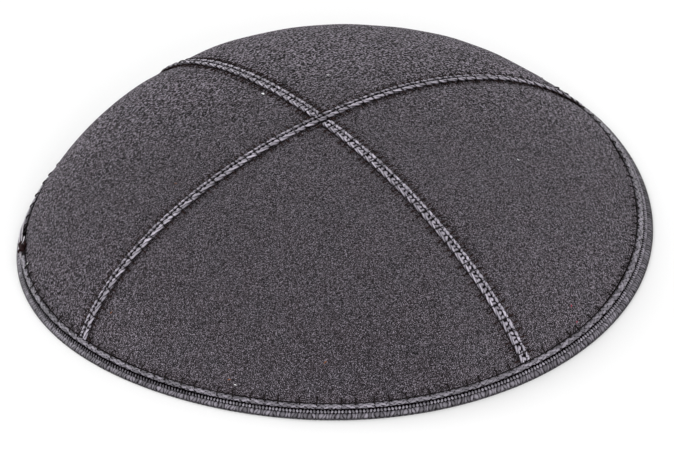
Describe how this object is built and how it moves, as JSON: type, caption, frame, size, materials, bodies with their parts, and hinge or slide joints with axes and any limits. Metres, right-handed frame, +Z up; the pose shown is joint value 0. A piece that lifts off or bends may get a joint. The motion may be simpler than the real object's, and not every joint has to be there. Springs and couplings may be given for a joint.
{
  "type": "kippah skullcap",
  "caption": "Shallow domed suede skullcap: panels meet at the crown, with braid over the crossing seams and folded round the rim; open underneath for the head.",
  "frame": {"origin": "on the floor that the rim rests on, at the middle of the cap's outline from above", "axes": "+Z up through the crown; the long unbroken seam runs along X over the crown, and the short seam along Y, in a front half at -Y and a back half at +Y"},
  "size_m": [0.1714, 0.1817, 0.0426],
  "materials": {
    "suede": "matt charcoal grey suede with a fine mottled nap",
    "seam_braid": "grey braid of two rails with a groove between, stitched down with dark thread",
    "rim_braid": "grey braid of two ribbed rails folded round the edge",
    "stitch_thread": "brown-black sewing thread"
  },
  "bodies": {
    "root": {"suede_panel_back_right": "suede", "suede_panel_back_left": "suede", "suede_panel_front_left": "suede", "suede_panel_front_right": "suede", "seam_braid_long": "seam_braid", "seam_braid_front": "seam_braid", "seam_braid_back": "seam_braid", "rim_binding": "rim_braid"}
  },
  "joints": []
}
